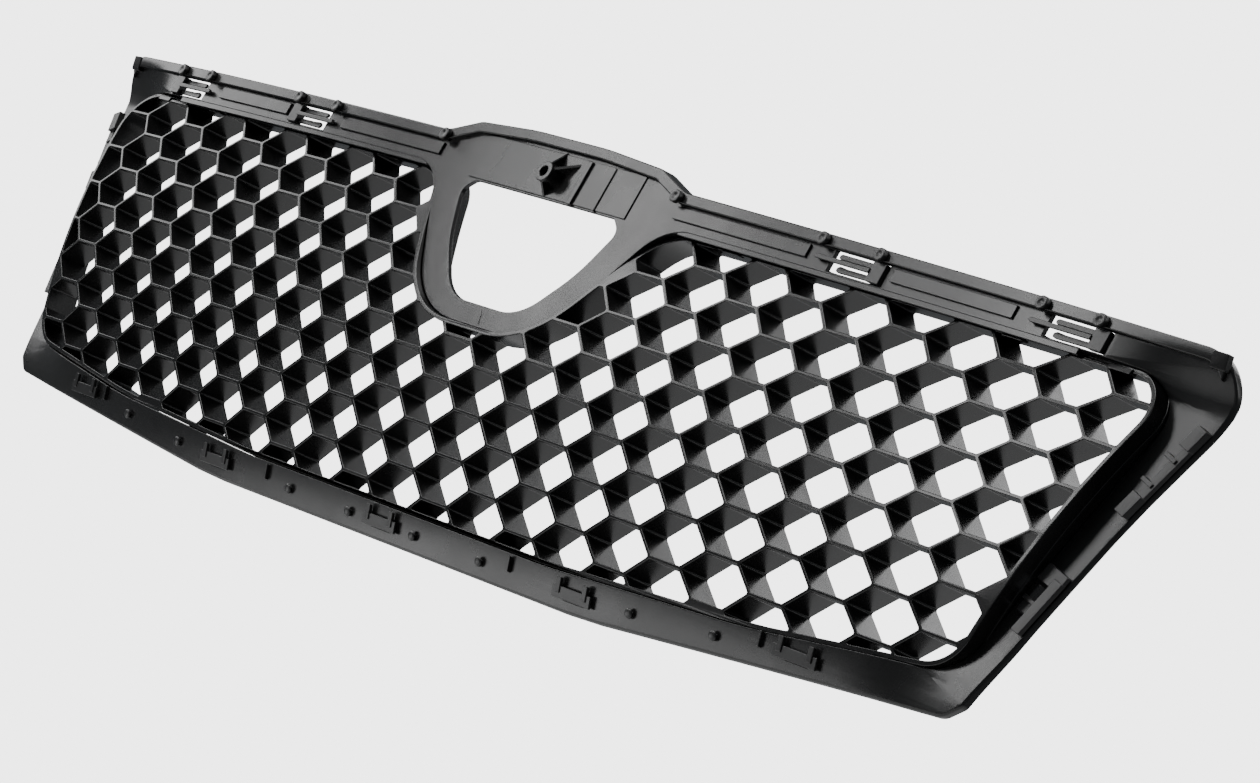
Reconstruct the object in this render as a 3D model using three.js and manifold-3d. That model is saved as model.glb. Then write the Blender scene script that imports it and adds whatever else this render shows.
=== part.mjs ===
// Front grille: a moulded carrier frame with a shield-shaped badge opening, a honeycomb
// insert, and the pegs, clips, retainers and latches of its fixing side.
// Millimetres. X is the width, Z is up, and the fixing side faces -Y.
// Every piece is first built flat, with Y as its depth behind the face, and then bent:
// only Y changes, so every opening and edge keeps its outline as seen along Y.
import * as THREE from 'three';
import { mergeVertices } from 'three/addons/utils/BufferGeometryUtils.js';
import { TessellateModifier } from 'three/addons/modifiers/TessellateModifier.js';
import Module from 'manifold-3d';

const wasm = await Module();
wasm.setup();

// ---- driving dimensions ----

// honeycomb: flat-topped cells, wider than they are tall
const cellPitch = 31.8;
const cellFlat = 19.4; // the flat top and bottom of a cell
const cellHalfWidth = cellPitch - cellFlat / 2;
const cellHalfHeight = 11;
const cellDepth = 17;
const cellWall = 1.6;
const smallestCell = 60; // plan area in square millimetres below which a cut cell is left solid
const rimWidth = 2.2;
const seamHalf = 1.5 * cellPitch; // the insert's three fields part on this line
const fieldGap = 0.3;

// carrier frame
const plate = 2.5;
const skirtDepth = 5;
const fitGap = 0.5; // between the insert's rim and the frame's opening
const wellWall = 1.4;
const ledgeOverlap = 1.6;
const ledgeGap = 1.2;
const stripWidth = 5.6;
const stripProud = 2.5;
const stripEnd = 417;
const lipBottom = 77.1;
const lipStart = 98;
const lipEnd = 345;

// faces: how the lattice face and the frame face lie behind the XZ plane
const planRadius = 2936;
const endSweep = 8.7e-11;
const latticeLean = 0.135;
const latticeUprightRadius = 299;
const cornerTwist = 1.58e-7;
const frameSet = 3.8;
const frameLean = 0.155;
const sideSet = 10;
const sideBlend = 40;
const sideBottom = [-100, -45]; // the side's setback fades in between these heights
const sideTop = [70, 97]; // and fades out again between these
const chinTop = -40;
const chinCurve = 0.0041;

// fixings
const pegSpots = [90, 189, 225, 320, 352];
const pegHeight = 93.8;
const pegHead = { radius: 3.2, height: 3 };
const pegShank = { radius: 1.7, hole: 2.2, depth: 5 };
const studSpots = [26, 77, 182, 235];
const studHead = { radius: 2.3, height: 2.4 };
const studShank = { radius: 1.1, hole: 1.5, depth: 5 };
const windowSpots = [212.7, 341];
const windowSize = { width: 34, bottom: 80.4, top: 91 };
const latchSpots = [0, 144, 284];
const latchBar = { width: 26, height: 5.4, front: -2.4 };
const latchTooth = { out: 9, up: 3.4, width: 3, height: 7, front: -3 };
const latchSlot = { width: 14, height: 4.4 };
const ribSpots = [98, 262];
const panels = [[136, 90], [270, 72]]; // low panels between the windows: middle and width
const padSpots = [116, 132, 156, 308, 367]; // snap pads on the insert's upper edge
const upperLedges = [150, 275, 373];
const lowerLedges = [0, 100, 200, 300];
const gap = 0.4;
const looseGap = 1.2; // over faces that curve more

// colours
const blackPlastic = { color: 0x1b1b1c, roughness: 0.42, metalness: 0 };
const honeycombPlastic = { color: 0x161617, roughness: 0.36, metalness: 0 };
const fixingPlastic = { color: 0x232324, roughness: 0.5, metalness: 0 };

const facet = { width: 76, depth: 60, height: 28 }; // longest straight run before a bend
const arcStep = THREE.MathUtils.degToRad(20);

// ---- outlines: corners [x, z, fillet radius], right half from bottom to top ----

const rimHalf = [
  [120, -83.5, 300],
  [250, -77.5, 300],
  [359.5, -65, 22],
  [396.5, 77.2, 17],
  [91, 76.6, 28],
  [46.5, 4.5, 56],
];
const frameHalf = [
  [150, -102.5, 300],
  [364, -86, 8],
  [372, -79, 5],
  [401.5, 17, 300],
  [419, 63, 60],
  [426, 97, 17],
  [92, 97, 24],
  [70, 105, 16],
  [28, 107.5, 120],
];
const shieldHalf = [
  [27, 18, 30],
  [50, 45, 70],
  [61, 70, 6],
  [54, 76, 5],
];
const hexHalf = [
  [cellFlat / 2, -cellHalfHeight, 0],
  [cellHalfWidth, 0, 0],
  [cellFlat / 2, cellHalfHeight, 0],
];

// closes a right half with its mirror image
function mirrored(half) {
  const left = half.map(([x, z, radius]) => [-x, z, radius]).reverse();
  return [...half, ...left];
}

const rim = mirrored(rimHalf);
const frame = mirrored(frameHalf);
const shield = mirrored(shieldHalf);

// the direction into a corner, and the angle turned through there
function turnAt(corners, i) {
  const [x, z] = corners[i];
  const before = corners.at(i - 1);
  const after = corners[(i + 1) % corners.length];
  const into = new THREE.Vector2(x - before[0], z - before[1]).normalize();
  const out = new THREE.Vector2(after[0] - x, after[1] - z).normalize();
  return { into, turn: Math.atan2(into.cross(out), into.dot(out)) };
}

// moves every side of an anticlockwise outline outwards by the distance
function grown(corners, distance) {
  return corners.map(([x, z, radius], i) => {
    const { into, turn } = turnAt(corners, i);
    const shift = distance * Math.tan(turn / 2);
    const fillet = radius === 0 ? 0 : Math.max(radius + Math.sign(turn) * distance, 0.5);
    return [
      x + into.y * distance + into.x * shift,
      z - into.x * distance + into.y * shift,
      fillet,
    ];
  });
}

// the outline's points, with an arc at every corner that has a radius
function outline(corners) {
  const points = [];
  corners.forEach(([x, z, radius], i) => {
    const { into, turn } = turnAt(corners, i);
    const cutBack = radius * Math.tan(Math.abs(turn) / 2);
    const start = new THREE.Vector2(x, z).addScaledVector(into, -cutBack);
    const inwards = new THREE.Vector2(-into.y, into.x).multiplyScalar(Math.sign(turn));
    const centre = start.clone().addScaledVector(inwards, radius);
    const steps = radius === 0 ? 0 : Math.ceil(Math.abs(turn) / arcStep);
    for (let step = 0; step <= steps; step += 1) {
      points.push(start.clone().rotateAround(centre, steps === 0 ? 0 : (turn * step) / steps));
    }
  });
  return points;
}

// ---- flat solids ----

function solid(geometry) {
  const bare = geometry.clone();
  bare.deleteAttribute('normal');
  bare.deleteAttribute('uv');
  const merged = mergeVertices(bare, 1e-4);
  const mesh = new wasm.Mesh({
    numProp: 3,
    vertProperties: Float32Array.from(merged.attributes.position.array),
    triVerts: Uint32Array.from(merged.index.array),
  });
  return new wasm.Manifold(mesh);
}

// a plan outline between two depths
function prism(points, front, back) {
  const shape = new THREE.Shape(points);
  const geometry = new THREE.ExtrudeGeometry(shape, { depth: back - front, bevelEnabled: false });
  return solid(geometry.rotateX(Math.PI / 2).translate(0, back, 0));
}

function slab(corners, front, back) {
  return prism(outline(corners), front, back);
}

// a plan band between an outline and the same outline grown by the width
function band(corners, width, front, back) {
  const outer = width > 0 ? grown(corners, width) : corners;
  const inner = width > 0 ? corners : grown(corners, width);
  return slab(outer, front, back).subtract(slab(inner, front - 1, back + 1));
}

function box(x, z, width, height, front, back) {
  const geometry = new THREE.BoxGeometry(width, back - front, height);
  return solid(geometry.translate(x, (front + back) / 2, z));
}

// a box laid along a slope in the plan
function slantedBox(x, z, width, height, slope, front, back) {
  const geometry = new THREE.BoxGeometry(width, back - front, height);
  geometry.rotateY(-slope);
  return solid(geometry.translate(x, (front + back) / 2, z));
}

function disc(x, z, radius, front, back, sides = 16) {
  const geometry = new THREE.CylinderGeometry(radius, radius, back - front, sides);
  return solid(geometry.translate(x, (front + back) / 2, z));
}

function joined(solids) {
  return solids.reduce((whole, next) => whole.add(next));
}

function cut(whole, cutters) {
  return cutters.reduce((rest, cutter) => rest.subtract(cutter), whole);
}

function bothSides(spots) {
  return spots.flatMap((x) => (x === 0 ? [0] : [-x, x]));
}

// ---- bending ----

function bow(x) {
  return (x * x) / (2 * planRadius) + endSweep * x ** 4;
}

function latticeFace(x, z) {
  const upright = latticeLean * z + (z * z) / (2 * latticeUprightRadius);
  return bow(x) + upright - cornerTwist * x * x * z;
}

// distance outside the insert's side, which leans outwards towards the top
function beyondSide(x, z) {
  const [low, high] = [rimHalf[2], rimHalf[3]];
  const sideX = low[0] + ((high[0] - low[0]) * (z - low[1])) / (high[1] - low[1]);
  return Math.abs(x) - sideX;
}

function frameFace(x, z) {
  const outside = THREE.MathUtils.smoothstep(beyondSide(x, z), -sideBlend, 0);
  const above = THREE.MathUtils.smoothstep(z, ...sideBottom);
  const below = 1 - THREE.MathUtils.smoothstep(z, ...sideTop);
  const chin = chinCurve * Math.min(z - chinTop, 0) ** 2;
  return bow(x) + frameSet + frameLean * z + sideSet * outside * above * below + chin;
}

function bentWithLattice(x, depth, z) {
  return latticeFace(x, z) + depth;
}

// within the plate a piece follows the frame's face, and from there it eases into the insert's
function bentWithFrame(x, depth, z) {
  const deep = THREE.MathUtils.clamp((depth - plate) / (cellDepth - plate), 0, 1);
  return THREE.MathUtils.lerp(frameFace(x, z), latticeFace(x, z), deep) + depth;
}

// splits the flat faces finely enough to follow the bend, and bends them
function bent(flat, bend) {
  const mesh = flat.getMesh();
  const places = Float32Array.from(mesh.vertProperties);
  let geometry = new THREE.BufferGeometry();
  geometry.setAttribute('position', new THREE.BufferAttribute(places, 3));
  geometry.setIndex(Array.from(mesh.triVerts));
  geometry.scale(1 / facet.width, 1 / facet.depth, 1 / facet.height);
  geometry = new TessellateModifier(1, 12).modify(geometry);
  geometry.scale(facet.width, facet.depth, facet.height);
  const position = geometry.attributes.position;
  for (let i = 0; i < position.count; i += 1) {
    position.setY(i, bend(position.getX(i), position.getY(i), position.getZ(i)));
  }
  geometry.computeVertexNormals();
  return geometry;
}

const grille = new THREE.Group();

function addPiece(name, flat, bend, look) {
  const piece = new THREE.Mesh(bent(flat, bend), new THREE.MeshStandardMaterial(look));
  piece.name = name;
  grille.add(piece);
}

function sideName(x) {
  return x < 0 ? 'left' : 'right';
}

// ---- honeycomb insert ----

function honeycombCells() {
  const inside = slab(rim, -1, cellDepth + 1);
  const hole = grown(mirrored(hexHalf), -cellWall / 2);
  const cells = [];
  for (let column = -13; column <= 13; column += 1) {
    for (let row = -9; row <= 9; row += 1) {
      if ((column + row) % 2 === 0) {
        continue;
      }
      const x = column * cellPitch;
      const z = row * cellHalfHeight;
      const points = hole.map((corner) => new THREE.Vector2(corner[0] + x, corner[1] + z));
      const cell = prism(points, -1, cellDepth + 1).intersect(inside);
      if (cell.volume() > smallestCell * (cellDepth + 2)) {
        cells.push(cell);
      }
    }
  }
  return cells;
}

// small pads on the insert's upper edge that snap under the frame
function snapPads() {
  return bothSides(padSpots).map((x) => box(x, 77.4, 12, 2.6, -0.8, 3));
}

function honeycomb() {
  const blank = joined([slab(grown(rim, rimWidth), 0, cellDepth), ...snapPads()]);
  return cut(blank, honeycombCells());
}

function addHoneycomb() {
  const whole = honeycomb();
  const reach = 500;
  const depth = cellDepth + 4;
  const middleWidth = 2 * seamHalf - fieldGap;
  const middle = box(0, 0, middleWidth, reach, -depth, 2 * depth);
  const seams = box(0, 0, middleWidth + 2 * fieldGap, reach, -depth, 2 * depth);
  const rightHalf = box(reach / 2, 0, reach, reach, -depth, 2 * depth);
  addPiece('honeycomb_centre', whole.intersect(middle), bentWithLattice, honeycombPlastic);
  const fields = whole.subtract(seams);
  addPiece('honeycomb_left', fields.subtract(rightHalf), bentWithLattice, honeycombPlastic);
  addPiece('honeycomb_right', fields.intersect(rightHalf), bentWithLattice, honeycombPlastic);
}

// ---- carrier frame ----

const opening = grown(rim, rimWidth + fitGap);
const boss = { z: 88, radius: 5.2, bore: 2.6, height: 8 };

// the raised strip along the top edge and over the bump, ending in a block each side
function topStrip() {
  const edge = band(frame, -stripWidth, -stripProud, 0.5);
  const strip = edge.intersect(box(0, 99, 2 * stripEnd, 22, -20, 20));
  const block = (x) => box(x, 92.5, 8, 7.4, -stripProud - 0.6, 0.4);
  return joined([strip, ...bothSides([stripEnd - 4]).map(block)]);
}

// low panels between the clip windows
function topPanels() {
  return panels.flatMap(([middle, width]) => {
    return bothSides([middle]).map((x) => box(x, 86.9, width, 6.4, -1.2, 0.6));
  });
}

// a web from the boss down to the face, standing across the plan at an angle
function bossWeb(angle, length) {
  const side = new THREE.Shape([
    new THREE.Vector2(boss.bore + 1, 0.5),
    new THREE.Vector2(boss.bore + 1, -boss.height + 1.5),
    new THREE.Vector2(length, 0.5),
  ]);
  const web = new THREE.ExtrudeGeometry(side, { depth: 1.4, bevelEnabled: false });
  return solid(web.translate(0, 0, -0.7).rotateY(-angle).translate(0, 0, boss.z));
}

// the boss, its webs, and a low panel with two ribs
function hoodFeatures() {
  const up = Math.PI / 2;
  return [
    disc(0, boss.z, boss.radius, -boss.height, 0.5, 24),
    bossWeb(up, 13),
    bossWeb(-up, 11.5),
    bossWeb(0.55, 18),
    box(0, boss.z, 122, 24, -0.6, 0.5),
    box(20, boss.z, 3.6, 23, -1.8, 0.5),
    box(38.5, boss.z, 1.2, 23, -1.2, 0.5),
  ];
}

function bottomRibs() {
  return bothSides(ribSpots).map((x) => box(x, lowerRailZ(x) + 4, 1.6, 7, -2, 0.5));
}

// the frame's bottom edge at a width, and the middle of the rail above it
function bottomEdge(x) {
  const [flat, end] = [frameHalf[0], frameHalf[1]];
  const along = Math.max(Math.abs(x) - flat[0], 0) / (end[0] - flat[0]);
  return flat[1] + along * (end[1] - flat[1]);
}

function lowerRailZ(x) {
  return bottomEdge(x) + 7.5;
}

const windowHeight = windowSize.top - windowSize.bottom;
const windowZ = (windowSize.top + windowSize.bottom) / 2;
const cutFront = 9; // a cutter starts this far in front of the face

// windows through the top rail and the well's upper wall
function windowCuts() {
  const window = (x) => box(x, windowZ, windowSize.width, windowHeight, -cutFront, 2 * cellDepth);
  return bothSides(windowSpots).map(window);
}

function frameCuts() {
  const hole = (x, z, radius) => disc(x, z, radius, -cutFront, skirtDepth, 12);
  const slot = (x) => {
    return box(x, lowerRailZ(x), latchSlot.width, latchSlot.height, -cutFront, skirtDepth);
  };
  const sideCuts = (side) => [
    ...retainerPins.map((pin) => hole(side * pin.x, pin.z, retainer.hole)),
    onSideBox(side, lowerClip, 0, 9.5, lowerClip.slot, 6.5, -cutFront, skirtDepth),
  ];
  return [
    disc(0, boss.z, boss.bore, -2 * cutFront, skirtDepth, 20),
    ...windowCuts(),
    ...bothSides(latchSpots).map(slot),
    ...bothSides(pegSpots).map((x) => hole(x, pegHeight, pegShank.hole)),
    ...bothSides(studSpots).map((x) => hole(x, lowerRailZ(x), studShank.hole)),
    ...[-1, 1].flatMap(sideCuts),
  ];
}

// the height of the rim's lower edge at a width
function rimBottom(x) {
  const below = rimHalf.slice(0, 3);
  const next = below.findIndex((corner) => corner[0] > Math.abs(x));
  const [start, end] = next === 0 ? [[0, below[0][1]], below[0]] : [below[next - 1], below[next]];
  return THREE.MathUtils.mapLinear(Math.abs(x), start[0], end[0], start[1], end[1]);
}

// short ledges behind the rim, on which the insert rests
function ledges(front, back) {
  const reach = rimWidth + fitGap + 1 - ledgeOverlap;
  const ledge = (x, z) => box(x, z, 16, 3.6, front, back);
  return [
    ...bothSides(upperLedges).map((x) => ledge(x, rimHalf[3][1] + reach)),
    ...bothSides(lowerLedges).map((x) => ledge(x, rimBottom(x) - reach)),
  ];
}

// a lip along the top rail, in front of the insert's rim
function topLips() {
  const width = lipEnd - lipStart;
  const lip = (x) => box(x, lipBottom + 1.75, width, 3.5, 0.3, 1.8);
  return bothSides([lipStart + width / 2]).map(lip);
}

function carrierFrame() {
  const ledgeFront = cellDepth + ledgeGap;
  const ledgeBack = ledgeFront + 2;
  const parts = [
    slab(frame, 0, plate),
    band(frame, -2.5, 0, skirtDepth),
    topStrip(),
    ...topPanels(),
    ...hoodFeatures(),
    ...bottomRibs(),
  ];
  const flange = cut(joined(parts), [
    slab(opening, -30, 60),
    slab(shield, -30, 60),
    ...frameCuts(),
  ]);
  const well = band(grown(opening, 0.25), wellWall, plate / 2, ledgeBack);
  const inner = cut(joined([well, ...topLips()]), windowCuts());
  return joined([flange, inner, ...ledges(ledgeFront, ledgeBack)]);
}

// ---- pegs, studs, clips, retainers and latches ----

// a round head in front of the face, standing clear of it, on a shank through it
function peg(x, z, head, shank, front, under) {
  const top = disc(x, z, head.radius, front - head.height, front - under);
  return top.add(disc(x, z, shank.radius, front - head.height * 0.75, shank.depth, 12));
}

function addPegs() {
  bothSides(pegSpots).sort((a, b) => a - b).forEach((x, i) => {
    const flat = peg(x, pegHeight, pegHead, pegShank, -stripProud, gap);
    addPiece(`upper_peg_${i + 1}`, flat, bentWithFrame, fixingPlastic);
  });
}

function addStuds() {
  bothSides(studSpots).sort((a, b) => a - b).forEach((x, i) => {
    const flat = peg(x, lowerRailZ(x), studHead, studShank, 0, looseGap);
    addPiece(`lower_stud_${i + 1}`, flat, bentWithFrame, fixingPlastic);
  });
}

// a clip sits in its window: an end block, a long bar with a pointed nose, and a lower tongue
function windowClip(x) {
  const out = Math.sign(x);
  const end = windowSize.width / 2 - gap;
  const block = box(x + out * (end - 4), windowZ, 8, windowHeight - 2 * gap, -2, plate);
  const bar = box(x - out * 7.5, windowZ, 33, 2.2, -2.8, -0.8);
  const nose = disc(x - out * 24, windowZ, 1.8, -2.8, -0.8, 6);
  const tongueZ = windowSize.bottom + 2.2;
  const tongue = box(x - out, tongueZ, 20, 2.6, 0.4, 2);
  const tip = disc(x - out * 10.5, tongueZ, 1.7, 0.4, 2, 12);
  return joined([block, bar, nose, tongue, tip]);
}

// the sprung finger above the bar, rooted next to the end block
function clipFinger(x) {
  const out = Math.sign(x);
  const root = x + out * (windowSize.width / 2 - gap - 8 - gap);
  const length = 21;
  const z = windowSize.top - 2.4;
  const arm = box(root - (out * length) / 2, z, length, 2.6, 0.4, 2);
  return arm.add(disc(root - out * length, z, 1.3, 0.4, 2, 12));
}

function addClips() {
  bothSides(windowSpots).forEach((x) => {
    const place = Math.abs(x) === windowSpots[0] ? 'inner' : 'outer';
    const name = `${sideName(x)}_${place}`;
    addPiece(`window_clip_${name}`, windowClip(x), bentWithFrame, fixingPlastic);
    addPiece(`clip_finger_${name}`, clipFinger(x), bentWithFrame, fixingPlastic);
  });
}

// a retainer clips on the frame's outer side edge: a rail, two pads and two prongs
const retainer = { z: 40.3, length: 48, pin: 1.2, hole: 1.7 };
const lowerClip = { z: -30, slot: 14 };

// a point on the side flange, along its outer edge from a height and inwards from that edge
function onSide(height, along, inwards) {
  const start = height < frameHalf[3][1] ? 2 : 3;
  const [low, high] = frameHalf.slice(start, start + 2);
  const edge = new THREE.Vector2(high[0] - low[0], high[1] - low[1]).normalize();
  return {
    x: low[0] + ((height - low[1]) * edge.x) / edge.y + along * edge.x - inwards * edge.y,
    z: height + along * edge.y + inwards * edge.x,
    slope: edge.angle(),
  };
}

const retainerPins = [onSide(retainer.z, -20, 4.6), onSide(retainer.z, 20, 4.6)];

function onSideBox(side, place, along, inwards, length, width, front, back) {
  const spot = onSide(place.z, along, inwards);
  const slope = side > 0 ? spot.slope : Math.PI - spot.slope;
  return slantedBox(side * spot.x, spot.z, length, width, slope, front, back);
}

function sideRetainer(side) {
  return joined([
    onSideBox(side, retainer, 0, 2.4, retainer.length, 4.2, -3.6, -looseGap),
    onSideBox(side, retainer, 18.5, 3.2, 11, 6, -5.2, -looseGap),
    onSideBox(side, retainer, -18.5, 3.2, 11, 6, -5.2, -looseGap),
    onSideBox(side, retainer, 6.5, 5, 2, 7, -4.4, -looseGap),
    onSideBox(side, retainer, -7, 5, 2, 7, -4.4, -looseGap),
    ...retainerPins.map((pin) => disc(side * pin.x, pin.z, retainer.pin, -1.6, 5, 12)),
  ]);
}

function lowerSideClip(side) {
  return joined([
    onSideBox(side, lowerClip, 0, 3.2, 27, 5, -3.8, -looseGap),
    onSideBox(side, lowerClip, 13.2, 7.2, 8, 12.6, -3.4, -looseGap),
    onSideBox(side, lowerClip, 0, 9, 2, 9, -2.4, -looseGap),
    onSideBox(side, lowerClip, -3.4, 9.5, 5, 5.7, -1.6, 5),
  ]);
}

// a latch hooks over the bottom rail: a foot in the slot, a bar and two short teeth
function bottomLatch(x) {
  const z = lowerRailZ(x);
  return joined([
    box(x, z, latchSlot.width - 2 * gap, latchSlot.height - 2 * gap, -1.6, 6),
    box(x, z + 0.4, latchBar.width, latchBar.height, latchBar.front, -looseGap),
    ...[-1, 1].map((side) => {
      const { out, up, width, height, front } = latchTooth;
      return box(x + side * out, z + up, width, height, front, -looseGap);
    }),
  ]);
}

function addRetainers() {
  [-1, 1].forEach((side) => {
    addPiece(`side_retainer_${sideName(side)}`, sideRetainer(side), bentWithFrame, fixingPlastic);
    addPiece(`lower_side_clip_${sideName(side)}`, lowerSideClip(side), bentWithFrame, fixingPlastic);
  });
}

function addLatches() {
  bothSides(latchSpots).sort((a, b) => a - b).forEach((x, i) => {
    addPiece(`bottom_latch_${i + 1}`, bottomLatch(x), bentWithFrame, fixingPlastic);
  });
}

addPiece('carrier_frame', carrierFrame(), bentWithFrame, blackPlastic);
addHoneycomb();
addPegs();
addClips();
addRetainers();
addLatches();
addStuds();

export default grille;
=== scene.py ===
"""The looks of a moulded front grille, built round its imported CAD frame.

Each piece is drawn flat in millimetres, as outlines of (x, z) with a depth along Y, and is
then bent: only Y changes, so an outline keeps its shape as seen along Y.
"""
import math

import bmesh
import bpy
import numpy as np
from mathutils import Matrix, Vector


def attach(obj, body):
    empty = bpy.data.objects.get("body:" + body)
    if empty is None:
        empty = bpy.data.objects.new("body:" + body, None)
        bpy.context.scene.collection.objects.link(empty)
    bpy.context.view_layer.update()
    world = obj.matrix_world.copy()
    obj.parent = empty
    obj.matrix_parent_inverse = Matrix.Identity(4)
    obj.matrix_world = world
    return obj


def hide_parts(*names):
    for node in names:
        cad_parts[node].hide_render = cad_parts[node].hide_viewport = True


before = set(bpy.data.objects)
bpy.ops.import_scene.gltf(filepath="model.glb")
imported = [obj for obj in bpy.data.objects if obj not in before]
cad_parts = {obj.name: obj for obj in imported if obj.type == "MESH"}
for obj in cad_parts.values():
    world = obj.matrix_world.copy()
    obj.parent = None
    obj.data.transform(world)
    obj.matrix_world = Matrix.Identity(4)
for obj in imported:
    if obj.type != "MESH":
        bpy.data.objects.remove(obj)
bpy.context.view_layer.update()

MM = 0.001

# ---- driving dimensions, as in the CAD model ----

CELL_PITCH = 31.8
CELL_FLAT = 19.4
CELL_HALF_WIDTH = CELL_PITCH - CELL_FLAT / 2
CELL_HALF_HEIGHT = 11
CELL_DEPTH = 17
CELL_WALL = 1.6
SMALLEST_CELL = 60
CELL_COLUMNS = 13
CELL_ROWS = 9
RIM_WIDTH = 2.2

PLATE = 2.5
SKIRT_WALL = 2.5
SKIRT_DEPTH = 5
FIT_GAP = 0.5
WELL_SET = 0.25
WELL_WALL = 1.4
WELL_BACK = 20.2
STRIP_WIDTH = 5.6
STRIP_PROUD = 2.5
STRIP_END = 417

LIP_BOTTOM = 77.1
LIP_START = 98
LIP_END = 345

WINDOW_BOTTOM = 80.4
WINDOW_TOP = 91
WINDOW_WIDTH = 34
WINDOW_SPOTS = (212.7, 341)
LATCH_SPOTS = (0, 144, 284)
PEG_SPOTS = (90, 189, 225, 320, 352)
PEG_HEIGHT = 93.8
PEG_HOLE = 2.2
STUD_SPOTS = (26, 77, 182, 235)
STUD_HOLE = 1.5
RIB_SPOTS = (98, 262)
PAD_SPOTS = (116, 132, 156, 308, 367)
UPPER_LEDGES = (150, 275, 373)
LOWER_LEDGES = (0, 100, 200, 300)
LEDGE_REACH = 2.1
PANELS = ((136, 90), (270, 72))  # the low panels' middles and widths
LOOSE_GAP = 1.2

BOSS_HEIGHT = 88
BOSS_RADIUS = 5.2
BOSS_BORE = 2.6

RETAINER_Z = 40.3
RETAINER_PINS = (-20, 20)
PIN_INWARDS = 4.6
PIN_HOLE = 1.7
LOWER_CLIP_Z = -30

# how the lattice face and the frame face lie behind the XZ plane
PLAN_RADIUS = 2936
END_SWEEP = 8.7e-11
LATTICE_LEAN = 0.135
LATTICE_UPRIGHT_RADIUS = 299
CORNER_TWIST = 1.58e-7
FRAME_SET = 3.8
FRAME_LEAN = 0.155
SIDE_SET = 10
SIDE_BLEND = 40
SIDE_BOTTOM = (-100, -45)
SIDE_TOP = (70, 97)
CHIN_TOP = -40
CHIN_CURVE = 0.0041

RIM_HALF = [
    (120, -83.5, 300),
    (250, -77.5, 300),
    (359.5, -65, 22),
    (396.5, 77.2, 17),
    (91, 76.6, 28),
    (46.5, 4.5, 56),
]
FRAME_HALF = [
    (150, -102.5, 300),
    (364, -86, 8),
    (372, -79, 5),
    (401.5, 17, 300),
    (419, 63, 60),
    (426, 97, 17),
    (92, 97, 24),
    (70, 105, 16),
    (28, 107.5, 120),
]
SHIELD_HALF = [
    (27, 18, 30),
    (50, 45, 70),
    (61, 70, 6),
    (54, 76, 5),
]
HEX_HALF = [
    (CELL_FLAT / 2, -CELL_HALF_HEIGHT, 0),
    (CELL_HALF_WIDTH, 0, 0),
    (CELL_FLAT / 2, CELL_HALF_HEIGHT, 0),
]


# ---- camera, light and floor ----

CAMERA_AZIMUTH = 49.8
CAMERA_ELEVATION = -3.85
CAMERA_ROLL = 22.54
CAMERA_DISTANCE = 2.2
CAMERA_AIM = Vector((0.0924, 0.0327, 0.0037))
CAMERA_LENS = 137.3
FLOOR_HEIGHT = -0.75
FLOOR_REACH = 1.6
FLOOR_GLOW = 0.1


def direction(azimuth, elevation):
    """From the object outwards; azimuth 0 is towards -Y and 90 towards +X."""
    a = math.radians(azimuth)
    e = math.radians(elevation)
    return Vector((math.sin(a) * math.cos(e), -math.cos(a) * math.cos(e), math.sin(e)))


def make_camera():
    """A long lens a little below the grille, off to its right, and rolled."""
    roll = math.radians(CAMERA_ROLL)
    back = direction(CAMERA_AZIMUTH, CAMERA_ELEVATION)
    level = Vector((0, 0, 1)).cross(back).normalized()
    upright = back.cross(level)
    right = math.cos(roll) * level + math.sin(roll) * upright
    camera = bpy.data.objects.new("camera", bpy.data.cameras.new("camera"))
    camera.data.lens = CAMERA_LENS
    camera.data.sensor_width = 36
    camera.data.clip_end = 50
    turn = Matrix((right, back.cross(right), back)).transposed().to_4x4()
    camera.matrix_world = Matrix.Translation(CAMERA_AIM + back * CAMERA_DISTANCE) @ turn
    bpy.context.scene.collection.objects.link(camera)
    bpy.context.scene.camera = camera


def make_softbox(name, azimuth, elevation, distance, width, height, power):
    light = bpy.data.objects.new(name, bpy.data.lights.new(name, "AREA"))
    light.data.shape = "RECTANGLE"
    light.data.size = width
    light.data.size_y = height
    light.data.energy = power
    towards = direction(azimuth, elevation)
    turn = towards.to_track_quat("Z", "Y").to_matrix().to_4x4()
    light.matrix_world = Matrix.Translation(towards * distance) @ turn
    bpy.context.scene.collection.objects.link(light)


def make_world():
    """A pale surround that lights the black plastic less than it shows behind it."""
    world = bpy.data.worlds.new("studio")
    world.use_nodes = True
    tree = world.node_tree
    tree.nodes.clear()
    output = tree.nodes.new("ShaderNodeOutputWorld")
    mix = tree.nodes.new("ShaderNodeMixShader")
    path = tree.nodes.new("ShaderNodeLightPath")
    room = tree.nodes.new("ShaderNodeBackground")
    room.inputs["Color"].default_value = (0.9, 0.95, 1, 1)
    room.inputs["Strength"].default_value = 0.14
    surround = tree.nodes.new("ShaderNodeBackground")
    surround.inputs["Color"].default_value = (1, 1, 1, 1)
    surround.inputs["Strength"].default_value = 4
    tree.links.new(path.outputs["Is Camera Ray"], mix.inputs["Fac"])
    tree.links.new(room.outputs["Background"], mix.inputs[1])
    tree.links.new(surround.outputs["Background"], mix.inputs[2])
    tree.links.new(mix.outputs["Shader"], output.inputs["Surface"])
    bpy.context.scene.world = world


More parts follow.
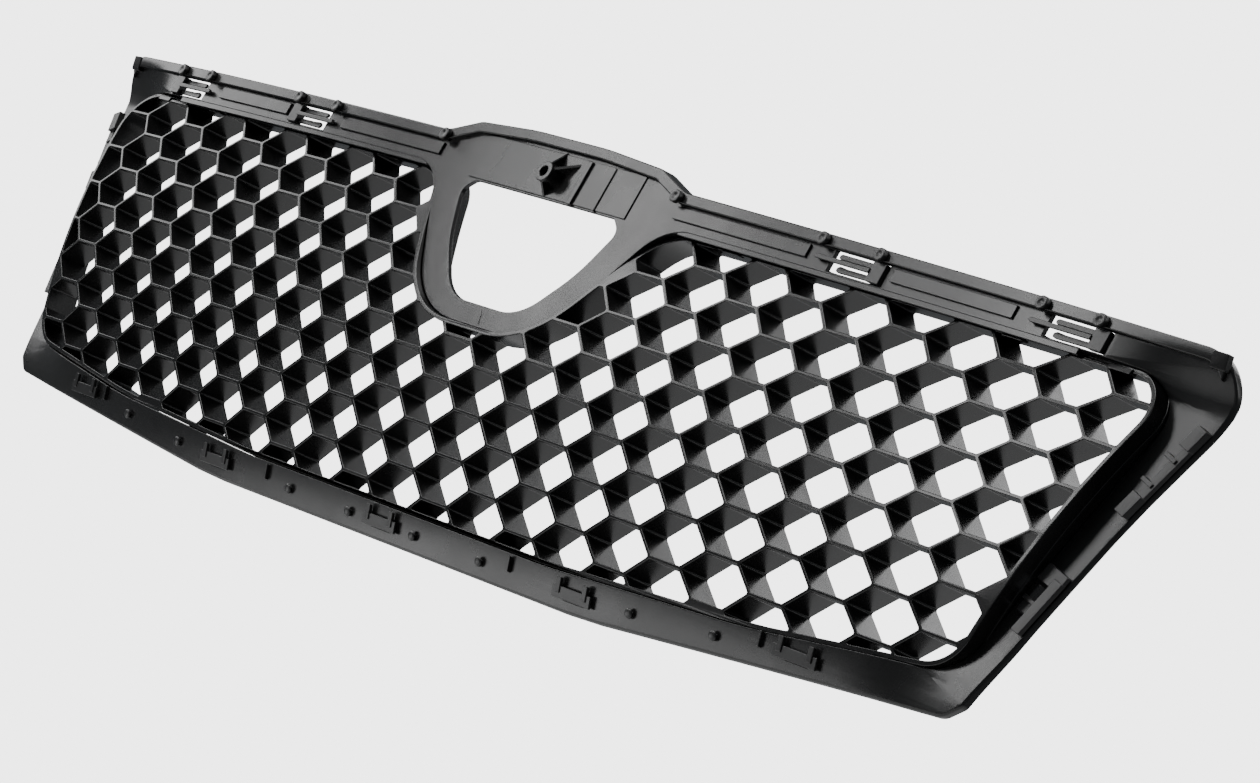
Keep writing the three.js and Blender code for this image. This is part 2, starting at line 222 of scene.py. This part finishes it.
def make_floor():
    """A round of pale matt paper under the grille."""
    mesh = bpy.data.meshes.new("floor")
    spots = [2 * math.pi * i / 96 for i in range(96)]
    rim = [(FLOOR_REACH * math.cos(a), FLOOR_REACH * math.sin(a), FLOOR_HEIGHT) for a in spots]
    mesh.from_pydata(rim, [], [range(96)])
    floor = bpy.data.objects.new("floor", mesh)
    material = bpy.data.materials.new("floor_paper")
    material.use_nodes = True
    nodes = material.node_tree.nodes
    links = material.node_tree.links
    shader = nodes["Principled BSDF"]
    shader.inputs["Roughness"].default_value = 0.9
    shader.inputs["Emission Strength"].default_value = FLOOR_GLOW
    place = nodes.new("ShaderNodeTexCoord")
    fibres = nodes.new("ShaderNodeTexNoise")
    fibres.inputs["Scale"].default_value = 40
    links.new(place.outputs["Object"], fibres.inputs["Vector"])
    shade = nodes.new("ShaderNodeValToRGB")
    shade.color_ramp.elements[0].color = (0.84, 0.84, 0.84, 1)
    shade.color_ramp.elements[1].color = (0.9, 0.9, 0.9, 1)
    links.new(fibres.outputs["Fac"], shade.inputs["Fac"])
    links.new(shade.outputs["Color"], shader.inputs["Base Color"])
    links.new(shade.outputs["Color"], shader.inputs["Emission Color"])
    mesh.materials.append(material)
    bpy.context.scene.collection.objects.link(floor)


# ---- outlines ----

def mirrored(half):
    """Closes a right half, given from bottom to top, with its mirror image."""
    return half + [(-x, z, radius) for x, z, radius in reversed(half)]


def turn_at(corners, i):
    """The direction into a corner, and the angle turned through there."""
    here = Vector(corners[i][:2])
    into = (here - Vector(corners[i - 1][:2])).normalized()
    out = (Vector(corners[(i + 1) % len(corners)][:2]) - here).normalized()
    return into, math.atan2(into.cross(out), into.dot(out))


def grown(corners, distance):
    """Moves every side of an anticlockwise outline outwards."""
    result = []
    for i, (x, z, radius) in enumerate(corners):
        into, turn = turn_at(corners, i)
        shift = distance * math.tan(turn / 2)
        fillet = max(radius + math.copysign(1, turn) * distance, 0.5) if radius else 0
        moved_x = x + into.y * distance + into.x * shift
        moved_z = z - into.x * distance + into.y * shift
        result.append((moved_x, moved_z, fillet))
    return result


def outline(corners, arc_step=math.radians(5)):
    """The outline's points, with an arc at every corner that has a radius."""
    points = []
    for i, (x, z, radius) in enumerate(corners):
        into, turn = turn_at(corners, i)
        side = math.copysign(1, turn)
        start = Vector((x, z)) - into * radius * math.tan(abs(turn) / 2)
        centre = start + Vector((-into.y, into.x)) * side * radius
        steps = math.ceil(abs(turn) / arc_step) if radius else 0
        for step in range(steps + 1):
            angle = turn * step / steps if steps else 0
            points.append(centre + Matrix.Rotation(angle, 2) @ (start - centre))
    return points


def split(points, longest=10):
    """Adds points along long stretches, so that they can bend."""
    result = []
    for i, point in enumerate(points):
        after = points[(i + 1) % len(points)]
        pieces = max(math.ceil((after - point).length / longest), 1)
        result.extend(point.lerp(after, k / pieces) for k in range(pieces))
    return result


def clipped(points, window):
    """The part of an outline inside a convex, anticlockwise window."""
    for i, corner in enumerate(window):
        side = window[(i + 1) % len(window)] - corner
        depth = [side.cross(point - corner) for point in points]
        kept = []
        for j, point in enumerate(points):
            if (depth[j] >= 0) != (depth[j - 1] >= 0):
                kept.append(points[j - 1].lerp(point, depth[j - 1] / (depth[j - 1] - depth[j])))
            if depth[j] >= 0:
                kept.append(point)
        points = kept
    return points


def area(points):
    return sum(points[i - 1].cross(point) for i, point in enumerate(points)) / 2


def eased(points, radius):
    """Turns every clear corner of an outline through a small curve."""
    result = []
    for i, point in enumerate(points):
        into = point - points[i - 1]
        out = points[(i + 1) % len(points)] - point
        turn = abs(math.atan2(into.cross(out), into.dot(out)))
        if turn < math.radians(15):
            result.append(point)
            continue
        reach = min(radius * math.tan(turn / 2), 0.4 * into.length, 0.4 * out.length)
        start = point - into.normalized() * reach
        end = point + out.normalized() * reach
        for t in (0, 1 / 3, 2 / 3, 1):
            result.append(start.lerp(point, t).lerp(point.lerp(end, t), t))
    return result


def rectangle(x, z, width, height, slope=0, corner=0.4):
    """A box's plan with eased corners, turned by a slope about its middle."""
    turn = Matrix.Rotation(slope, 2)
    halves = [(-0.5, -0.5), (0.5, -0.5), (0.5, 0.5), (-0.5, 0.5)]
    corners = [Vector((x, z)) + turn @ Vector((width * u, height * v)) for u, v in halves]
    return split(eased(corners, corner))


def circle(x, z, radius, sides=32):
    angles = [math.tau * i / sides for i in range(sides)]
    return [Vector((x + radius * math.cos(a), z + radius * math.sin(a))) for a in angles]


def placed(corners, x, z, out):
    """A small outline set down at a spot, mirrored on the left-hand side."""
    points = [Vector((x + out * u, z + v)) for u, v in corners]
    return points if out < 0 else points[::-1]


def both_sides(spots):
    return [x for spot in spots for x in ((0,) if spot == 0 else (-spot, spot))]


# ---- flat solids, added to a bmesh ----

def add_plan(bm, outer, holes, front, back, edge=0.3):
    """A solid between two depths, with holes through it and its edges rounded."""
    curve = bpy.data.curves.new("plan", "CURVE")
    curve.dimensions = "2D"
    curve.fill_mode = "BOTH"
    curve.extrude = (back - front) / 2 - edge
    curve.bevel_depth = edge
    curve.bevel_resolution = 2
    curve.offset = -edge
    for points in (outer, *holes):
        spline = curve.splines.new("POLY")
        spline.points.add(len(points) - 1)
        spline.points.foreach_set("co", [value for p in points for value in (p.x, p.y, 0, 1)])
        spline.use_cyclic_u = True
    carrier = bpy.data.objects.new("plan", curve)
    mesh = bpy.data.meshes.new_from_object(carrier)
    stand = Matrix.Translation((0, (front + back) / 2, 0)) @ Matrix.Rotation(math.pi / 2, 4, "X")
    mesh.transform(stand)
    bm.from_mesh(mesh)
    bpy.data.objects.remove(carrier)
    bpy.data.curves.remove(curve)
    bpy.data.meshes.remove(mesh)


def add_box(bm, x, z, width, height, front, back):
    add_plan(bm, rectangle(x, z, width, height), [], front, back)


def add_turned(bm, x, z, profile, sides=32):
    """A solid of revolution about a line along Y; the profile's (radius, depth) ends on the axis."""
    rings = []
    for radius, depth in profile:
        if radius == 0:
            rings.append([bm.verts.new((x, depth, z))] * sides)
        else:
            rings.append([bm.verts.new((p.x, depth, p.y)) for p in circle(x, z, radius, sides)])
    for near, far in zip(rings, rings[1:]):
        for i in range(sides):
            corners = [near[i - 1], near[i], far[i], far[i - 1]]
            bm.faces.new(list(dict.fromkeys(corners)))


def add_web(bm, x, z, angle, start, length, height, thickness):
    """A web standing across the plan, which falls from its height to the face."""
    along = Vector((math.cos(angle), math.sin(angle)))
    across = Vector((-along.y, along.x)) * thickness / 2
    profile = [(start, 0.5), (start, -height), (start + 1, -height), (length, 0.2), (length, 0.5)]
    sides = []
    for side in (-1, 1):
        spots = [Vector((x, z)) + along * r + across * side for r, _ in profile]
        sides.append([bm.verts.new((spot.x, depth, spot.y)) for spot, (_, depth) in zip(spots, profile)])
    bm.faces.new(sides[0])
    bm.faces.new(list(reversed(sides[1])))
    for i in range(len(profile)):
        bm.faces.new([sides[0][i - 1], sides[0][i], sides[1][i], sides[1][i - 1]])


def cut_away(bm, cutter):
    """The first solid less the second, as a new bmesh; both bmeshes are used up."""
    objects = []
    for solid in (bm, cutter):
        mesh = bpy.data.meshes.new("solid")
        bmesh.ops.remove_doubles(solid, verts=solid.verts, dist=1e-3)
        bmesh.ops.recalc_face_normals(solid, faces=solid.faces)
        solid.to_mesh(mesh)
        solid.free()
        objects.append(bpy.data.objects.new("solid", mesh))
        bpy.context.scene.collection.objects.link(objects[-1])
    boolean = objects[0].modifiers.new("cut", "BOOLEAN")
    boolean.object = objects[1]
    boolean.solver = "EXACT"
    result = bmesh.new()
    result.from_object(objects[0], bpy.context.evaluated_depsgraph_get())
    for made in objects:
        mesh = made.data
        bpy.data.objects.remove(made)
        bpy.data.meshes.remove(mesh)
    return result


def add_all(bm, other):
    """Moves one bmesh's solids into another."""
    mesh = bpy.data.meshes.new("solids")
    other.to_mesh(mesh)
    other.free()
    bm.from_mesh(mesh)
    bpy.data.meshes.remove(mesh)


# ---- bending, as in the CAD model ----

def smoothstep(value, low, high):
    t = np.clip((value - low) / (high - low), 0, 1)
    return t * t * (3 - 2 * t)


def bow(x):
    return x * x / (2 * PLAN_RADIUS) + END_SWEEP * x ** 4


def lattice_face(x, z):
    upright = LATTICE_LEAN * z + z * z / (2 * LATTICE_UPRIGHT_RADIUS)
    return bow(x) + upright - CORNER_TWIST * x * x * z


def frame_face(x, z):
    (low_x, low_z, _), (high_x, high_z, _) = RIM_HALF[2], RIM_HALF[3]
    beyond = np.abs(x) - (low_x + (high_x - low_x) * (z - low_z) / (high_z - low_z))
    side = smoothstep(beyond, -SIDE_BLEND, 0) * smoothstep(z, *SIDE_BOTTOM) * (1 - smoothstep(z, *SIDE_TOP))
    chin = CHIN_CURVE * np.minimum(z - CHIN_TOP, 0) ** 2
    return bow(x) + FRAME_SET + FRAME_LEAN * z + SIDE_SET * side + chin


def bent_with_lattice(x, depth, z):
    return lattice_face(x, z) + depth


def bent_with_frame(x, depth, z):
    deep = np.clip((depth - PLATE) / (CELL_DEPTH - PLATE), 0, 1)
    return frame_face(x, z) * (1 - deep) + lattice_face(x, z) * deep + depth


def slice_up(bm, pitch):
    """Cuts long faces on a regular grid, so that they can bend."""
    # grid lines stand a little off zero, clear of the mirror line's corners
    for axis, reach in ((0, 420), (2, 108)):
        normal = [0, 0, 0]
        normal[axis] = 1
        for step in range(-int(reach / pitch), int(reach / pitch) + 1):
            spot = [0, 0, 0]
            spot[axis] = step * pitch + 0.37
            everything = [*bm.verts, *bm.edges, *bm.faces]
            bmesh.ops.bisect_plane(bm, geom=everything, dist=1e-4, plane_co=spot, plane_no=normal)


def make_piece(bm, name, bend, body, nodes, material):
    """Bends the flat solids, makes one smooth-shaded object of them and puts it in the frame."""
    bmesh.ops.remove_doubles(bm, verts=bm.verts, dist=1e-3)
    bmesh.ops.recalc_face_normals(bm, faces=bm.faces)
    mesh = bpy.data.meshes.new(name)
    bm.to_mesh(mesh)
    bm.free()
    places = np.empty(len(mesh.vertices) * 3)
    mesh.vertices.foreach_get("co", places)
    places = places.reshape(-1, 3)
    places[:, 1] = bend(places[:, 0], places[:, 1], places[:, 2])
    mesh.vertices.foreach_set("co", (places * MM).ravel())
    mesh.polygons.foreach_set("use_smooth", [True] * len(mesh.polygons))
    mesh.set_sharp_from_angle(angle=math.radians(40))
    mesh.materials.append(material)
    piece = bpy.data.objects.new(name, mesh)
    bpy.context.scene.collection.objects.link(piece)
    weighted = piece.modifiers.new("weighted_normals", "WEIGHTED_NORMAL")
    weighted.keep_sharp = True
    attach(piece, body)
    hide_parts(*nodes)
    return piece


# ---- materials ----

def add_noise(tree, place, scale, detail):
    """A noise texture over the object's own coordinates."""
    noise = tree.nodes.new("ShaderNodeTexNoise")
    noise.inputs["Scale"].default_value = scale
    noise.inputs["Detail"].default_value = detail
    tree.links.new(place.outputs["Object"], noise.inputs["Vector"])
    return noise


def add_bump(tree, noise, strength, distance):
    bump = tree.nodes.new("ShaderNodeBump")
    bump.inputs["Strength"].default_value = strength
    bump.inputs["Distance"].default_value = distance
    tree.links.new(noise.outputs["Fac"], bump.inputs["Height"])
    return bump


def plastic(name, dark, pale, roughness, sheen_spread, grain):
    """Moulded black plastic: cloudy greys, smudged gloss, gentle waves and a fine grain."""
    material = bpy.data.materials.new(name)
    material.use_nodes = True
    nodes = material.node_tree.nodes
    links = material.node_tree.links
    shader = nodes["Principled BSDF"]
    shader.inputs["IOR"].default_value = 1.5
    place = nodes.new("ShaderNodeTexCoord")

    clouds = add_noise(material.node_tree, place, 22, 5)
    colour = nodes.new("ShaderNodeValToRGB")
    colour.color_ramp.elements[0].position = 0.35
    colour.color_ramp.elements[0].color = (dark, dark, dark, 1)
    colour.color_ramp.elements[1].position = 0.75
    colour.color_ramp.elements[1].color = (pale, pale, pale, 1)
    links.new(clouds.outputs["Fac"], colour.inputs["Fac"])
    links.new(colour.outputs["Color"], shader.inputs["Base Color"])

    smudges = add_noise(material.node_tree, place, 9, 8)
    smudges.inputs["Roughness"].default_value = 0.6
    gloss = nodes.new("ShaderNodeMapRange")
    gloss.inputs["From Min"].default_value = 0.3
    gloss.inputs["From Max"].default_value = 0.7
    gloss.inputs["To Min"].default_value = roughness - sheen_spread
    gloss.inputs["To Max"].default_value = roughness + sheen_spread
    links.new(smudges.outputs["Fac"], gloss.inputs["Value"])
    links.new(gloss.outputs["Result"], shader.inputs["Roughness"])

    waves = add_bump(material.node_tree, add_noise(material.node_tree, place, 28, 2), 0.12, 0.002)
    fine = add_bump(material.node_tree, add_noise(material.node_tree, place, 1400, 3), grain, 0.0002)
    links.new(waves.outputs["Normal"], fine.inputs["Normal"])
    links.new(fine.outputs["Normal"], shader.inputs["Normal"])
    return material


frame_plastic = plastic("frame_plastic", 0.004, 0.009, 0.27, 0.06, 0.12)
honeycomb_plastic = plastic("honeycomb_plastic", 0.003, 0.007, 0.25, 0.05, 0.10)
fixing_plastic = plastic("fixing_plastic", 0.006, 0.014, 0.34, 0.06, 0.2)

RIM = mirrored(RIM_HALF)
FRAME = mirrored(FRAME_HALF)
SHIELD = mirrored(SHIELD_HALF)
OPENING = grown(RIM, RIM_WIDTH + FIT_GAP)


# ---- honeycomb insert ----

def cell_outlines():
    inside = outline(RIM)
    hexagon = [Vector(corner[:2]) for corner in grown(mirrored(HEX_HALF), -CELL_WALL / 2)]
    cells = []
    for column in range(-CELL_COLUMNS, CELL_COLUMNS + 1):
        for row in range(-CELL_ROWS, CELL_ROWS + 1):
            if (column + row) % 2 == 0:
                continue
            middle = Vector((column * CELL_PITCH, row * CELL_HALF_HEIGHT))
            cell = clipped(inside, [middle + corner for corner in hexagon])
            if len(cell) > 2 and area(cell) > SMALLEST_CELL:
                cells.append(eased(cell, 1.2))
    return cells


def make_honeycomb():
    bm = bmesh.new()
    outer = split(outline(grown(RIM, RIM_WIDTH)), 6)
    add_plan(bm, outer, cell_outlines(), 0, CELL_DEPTH, edge=0.35)
    for x in both_sides(PAD_SPOTS):
        add_box(bm, x, 77.4, 12, 2.6, -0.8, 3)
    # the bead round the outer wall
    bead = [split(outline(grown(RIM, RIM_WIDTH + set_out)), 6) for set_out in (0.35, -0.3)]
    add_plan(bm, bead[0], [bead[1]], 8.4, 9.6)
    nodes = ["honeycomb_left", "honeycomb_centre", "honeycomb_right"]
    make_piece(bm, "honeycomb", bent_with_lattice, "grille", nodes, honeycomb_plastic)


# ---- carrier frame ----

def lower_rail_z(x):
    """The middle of the rail along the bottom edge."""
    (flat_x, flat_z, _), (end_x, end_z, _) = FRAME_HALF[0], FRAME_HALF[1]
    along = max(abs(x) - flat_x, 0) / (end_x - flat_x)
    return flat_z + along * (end_z - flat_z) + 7.5


def on_side(height, along, inwards):
    """A point on the side flange, along its outer edge from a height and inwards; and its slope."""
    start = 2 if height < FRAME_HALF[3][1] else 3
    (low_x, low_z, _), (high_x, high_z, _) = FRAME_HALF[start:start + 2]
    edge = Vector((high_x - low_x, high_z - low_z)).normalized()
    x = low_x + (height - low_z) * edge.x / edge.y + along * edge.x - inwards * edge.y
    return Vector((x, height + along * edge.y + inwards * edge.x)), math.atan2(edge.y, edge.x)


def side_plan(side, height, along, inwards, length, width):
    """A rectangle laid along the side flange."""
    spot, slope = on_side(height, along, inwards)
    return rectangle(side * spot.x, spot.y, length, width, slope if side > 0 else math.pi - slope)


def window_plans():
    middle = (WINDOW_TOP + WINDOW_BOTTOM) / 2
    height = WINDOW_TOP - WINDOW_BOTTOM
    return [rectangle(x, middle, WINDOW_WIDTH, height) for x in both_sides(WINDOW_SPOTS)]


def frame_holes():
    holes = [outline(OPENING), outline(SHIELD), circle(0, BOSS_HEIGHT, BOSS_BORE), *window_plans()]
    holes += [rectangle(x, lower_rail_z(x), 14, 4.4) for x in both_sides(LATCH_SPOTS)]
    holes += [circle(x, PEG_HEIGHT, PEG_HOLE, 20) for x in both_sides(PEG_SPOTS)]
    holes += [circle(x, lower_rail_z(x), STUD_HOLE, 20) for x in both_sides(STUD_SPOTS)]
    for side in (-1, 1):
        for along in RETAINER_PINS:
            pin, _ = on_side(RETAINER_Z, along, PIN_INWARDS)
            holes.append(circle(side * pin.x, pin.y, PIN_HOLE, 20))
        holes.append(side_plan(side, LOWER_CLIP_Z, 0, 9.5, 14, 6.5))
    return [split(hole) for hole in holes]


def top_run(corners):
    """The stretch of an outline along the top edge, from right to left."""
    points = [p for p in split(outline(corners), 4) if p.y > 85 and abs(p.x) < STRIP_END]
    return sorted(points, key=lambda p: -p.x)


def add_top_edge(bm):
    """The raised strip with its end blocks, the low panels, and the lip in front of the insert."""
    strip = top_run(FRAME) + top_run(grown(FRAME, -STRIP_WIDTH))[::-1]
    add_plan(bm, strip, [], -STRIP_PROUD, 0.5, edge=0.6)
    for x in both_sides((STRIP_END - 4,)):
        add_box(bm, x, 92.5, 8, 7.4, -STRIP_PROUD - 0.6, 0.4)
    for spot, width in PANELS:
        for x in both_sides((spot,)):
            add_box(bm, x, 86.9, width, 6.4, -1.2, 0.6)
    lip_width = LIP_END - LIP_START
    for x in both_sides((LIP_START + lip_width / 2,)):
        add_box(bm, x, LIP_BOTTOM + 1.75, lip_width, 3.5, 0.3, 1.8)


def add_hood(bm):
    """The screw boss with its webs, a low panel with two ribs, and the knit line under the opening."""
    bore = circle(0, BOSS_HEIGHT, BOSS_BORE)
    add_plan(bm, circle(0, BOSS_HEIGHT, BOSS_RADIUS), [bore], -8, 0.5, edge=0.4)
    for angle, length in ((math.pi / 2, 13), (-math.pi / 2, 11.5), (0.55, 18)):
        add_web(bm, 0, BOSS_HEIGHT, angle, 3.6, length, 6.5, 1.4)
    add_plan(bm, split(outline(mirrored([(61, 77, 0.5), (61, 100, 0.5)]))), [], -0.6, 0.5)
    knit = [(4.2, 9), (4.9, 9), (3.6, 11.8), (3.1, 14), (0.6, 16.4), (0.1, 16), (2.5, 13.6), (3, 11.5)]
    add_plan(bm, [Vector(corner) for corner in knit], [], -0.25, 0.5, edge=0.1)
    add_box(bm, 20, BOSS_HEIGHT, 3.6, 23, -1.8, 0.5)
    add_box(bm, 38.5, BOSS_HEIGHT, 1.2, 23, -1.2, 0.5)


def make_well():
    """The wall round the insert, open where the clip windows cross it."""
    bm = bmesh.new()
    inner = grown(OPENING, WELL_SET)
    outer = grown(inner, WELL_WALL)
    add_plan(bm, split(outline(outer)), [split(outline(inner))], PLATE / 2, WELL_BACK)
    windows = bmesh.new()
    for plan in window_plans():
        add_plan(windows, plan, [], -9, 2 * CELL_DEPTH, edge=0)
    return cut_away(bm, windows)


def add_ledges(bm):
    """Short ledges behind the insert's rim."""
    xs, zs, _ = zip(*RIM_HALF[:3])
    spots = [(x, RIM_HALF[3][1] + LEDGE_REACH) for x in both_sides(UPPER_LEDGES)]
    spots += [(x, float(np.interp(abs(x), xs, zs)) - LEDGE_REACH) for x in both_sides(LOWER_LEDGES)]
    for x, z in spots:
        add_box(bm, x, z, 16, 3.6, WELL_BACK - 2, WELL_BACK)


def make_carrier():
    """The frame: its plate, a skirt round its edge, the well, and everything moulded on."""
    bm = bmesh.new()
    add_plan(bm, split(outline(grown(FRAME, -0.9))), frame_holes(), 0, PLATE)
    inner = grown(FRAME, -SKIRT_WALL)
    round_edge = SKIRT_WALL / 2 - 0.02
    add_plan(bm, split(outline(FRAME)), [split(outline(inner))], 0, SKIRT_DEPTH, edge=round_edge)
    add_all(bm, make_well())
    add_top_edge(bm)
    add_hood(bm)
    add_ledges(bm)
    for x in both_sides(RIB_SPOTS):
        add_box(bm, x, lower_rail_z(x) + 4, 1.6, 7, -2, 0.5)
    slice_up(bm, 9)
    make_piece(bm, "carrier", bent_with_frame, "grille", ["carrier_frame"], frame_plastic)


# ---- pegs, studs, clips, retainers and latches ----

def make_fixing(bm, node, body="grille"):
    """Stands the fine model of a fastening piece in its CAD node's place."""
    name = node + "_fine"
    return make_piece(bm, name, bent_with_frame, body, [node], fixing_plastic)


def make_pegs():
    """Round heads with a dished top, on shanks through the frame."""
    for i, x in enumerate(sorted(both_sides(PEG_SPOTS))):
        bm = bmesh.new()
        front, back = -STRIP_PROUD - 3, -STRIP_PROUD - 0.4
        dish = [(0, front + 0.35), (1.1, front + 0.3), (1.5, front + 0.05), (2.5, front)]
        side = [(2.95, front + 0.12), (3.2, front + 0.45), (3.2, back - 0.2), (3, back)]
        shank = [(1.7, back), (1.7, 4.6), (1.4, 5), (0, 5)]
        add_turned(bm, x, PEG_HEIGHT, dish + side + shank)
        make_fixing(bm, f"upper_peg_{i + 1}")


def make_studs():
    """Small domed heads on thin shanks."""
    for i, x in enumerate(sorted(both_sides(STUD_SPOTS))):
        bm = bmesh.new()
        dome = [(0, -2.4), (1.3, -2.35), (1.9, -2.15), (2.25, -1.75), (2.3, -1.4)]
        shank = [(2.2, -LOOSE_GAP), (1.1, -LOOSE_GAP), (1.1, 4.7), (0.9, 5), (0, 5)]
        add_turned(bm, x, lower_rail_z(x), dome + shank)
        make_fixing(bm, f"lower_stud_{i + 1}")


def make_window_clip(x, name):
    """An end block, a long bar with a pointed nose, and a lower tongue with a round tip."""
    out = math.copysign(1, x)
    middle = (WINDOW_TOP + WINDOW_BOTTOM) / 2
    end = WINDOW_WIDTH / 2 - 0.4
    bm = bmesh.new()
    add_box(bm, x + out * (end - 4), middle, 8, WINDOW_TOP - WINDOW_BOTTOM - 0.8, -2, PLATE)
    bar = [(9, -1.1), (9, 1.1), (-24, 1.1), (-25.8, 0), (-24, -1.1)]
    add_plan(bm, split(placed(bar, x, middle, out)), [], -2.8, -0.8)
    tongue = [(9, -1.3), (9, 1.3), (-6, 1.3), (-8, 1.5), (-10.5, 1.7)]
    tongue += [(-12, 0.9), (-12.2, 0), (-12, -0.9), (-10.5, -1.5)]
    add_plan(bm, eased(placed(tongue, x, WINDOW_BOTTOM + 2.2, out), 1), [], 0.4, 2)
    make_fixing(bm, f"window_clip_{name}")


def make_clip_finger(x, name):
    """The sprung finger over the bar, with a round tip, on a body of its own."""
    out = math.copysign(1, x)
    root = WINDOW_WIDTH / 2 - 8.8
    bend, tip = root - 21, root - 22.2
    bm = bmesh.new()
    finger = [(root, -1.3), (root, 1.3), (bend, 1.3), (tip, 0.6), (tip, -0.6), (bend, -1.3)]
    add_plan(bm, split(eased(placed(finger, x, WINDOW_TOP - 2.4, out), 1)), [], 0.4, 2)
    make_fixing(bm, f"clip_finger_{name}", f"clip_finger_{name}_body")


def make_clips():
    for x in both_sides(WINDOW_SPOTS):
        side = "left" if x < 0 else "right"
        place = "inner" if abs(x) == WINDOW_SPOTS[0] else "outer"
        make_window_clip(x, f"{side}_{place}")
        make_clip_finger(x, f"{side}_{place}")


def make_side_retainer(side, name):
    """A rail along the outer edge with two pads and two prongs, on two pins."""
    bm = bmesh.new()
    rail = [(0, 2.4, 48, 4.2, -3.6), (18.5, 3.2, 11, 6, -5.2), (-18.5, 3.2, 11, 6, -5.2)]
    rail += [(6.5, 5, 2, 7, -4.4), (-7, 5, 2, 7, -4.4)]
    for along, inwards, length, width, front in rail:
        plan = side_plan(side, RETAINER_Z, along, inwards, length, width)
        add_plan(bm, plan, [], front, -LOOSE_GAP)
    for along in RETAINER_PINS:
        pin, _ = on_side(RETAINER_Z, along, PIN_INWARDS)
        add_plan(bm, circle(side * pin.x, pin.y, 1.2, 20), [], -1.6, 5)
    make_fixing(bm, f"side_retainer_{name}")


def make_lower_side_clip(side, name):
    """A rail with a slab at its top, a bar, and a foot in its slot."""
    bm = bmesh.new()
    clip = [(0, 3.2, 27, 5, -3.8, -LOOSE_GAP), (13.2, 7.2, 8, 12.6, -3.4, -LOOSE_GAP)]
    clip += [(0, 9, 2, 9, -2.4, -LOOSE_GAP), (-3.4, 9.5, 5, 5.7, -1.6, 5)]
    for along, inwards, length, width, front, back in clip:
        plan = side_plan(side, LOWER_CLIP_Z, along, inwards, length, width)
        add_plan(bm, plan, [], front, back)
    make_fixing(bm, f"lower_side_clip_{name}")


def make_side_fixings():
    for side, name in ((-1, "left"), (1, "right")):
        make_side_retainer(side, name)
        make_lower_side_clip(side, name)


def make_latches():
    """A foot in the slot, a bar over it and two short teeth."""
    for i, x in enumerate(sorted(both_sides(LATCH_SPOTS))):
        z = lower_rail_z(x)
        bm = bmesh.new()
        add_box(bm, x, z, 13.2, 3.6, -1.6, 6)
        add_box(bm, x, z + 0.4, 26, 5.4, -2.4, -LOOSE_GAP)
        for shift in (-9, 9):
            add_box(bm, x + shift, z + 3.4, 3, 7, -3, -LOOSE_GAP)
        make_fixing(bm, f"bottom_latch_{i + 1}")


make_camera()
make_world()
make_floor()
make_softbox("top_softbox", -10, 68, 1.7, 1.5, 0.9, 26)
make_softbox("far_left_softbox", -78, 22, 1.9, 0.5, 1.0, 7)
make_softbox("left_softbox", -51, 24, 2.0, 0.36, 0.7, 6.5)
make_softbox("front_softbox", -25, 22, 2.0, 0.36, 0.9, 11)
make_softbox("right_softbox", 115, 30, 1.8, 0.8, 1.2, 8)
make_softbox("back_softbox", 185, 35, 2.2, 1.2, 0.8, 12)
make_softbox("low_softbox", -45, -26, 1.3, 0.9, 0.25, 2)

make_honeycomb()
make_carrier()
make_pegs()
make_studs()
make_clips()
make_side_fixings()
make_latches()
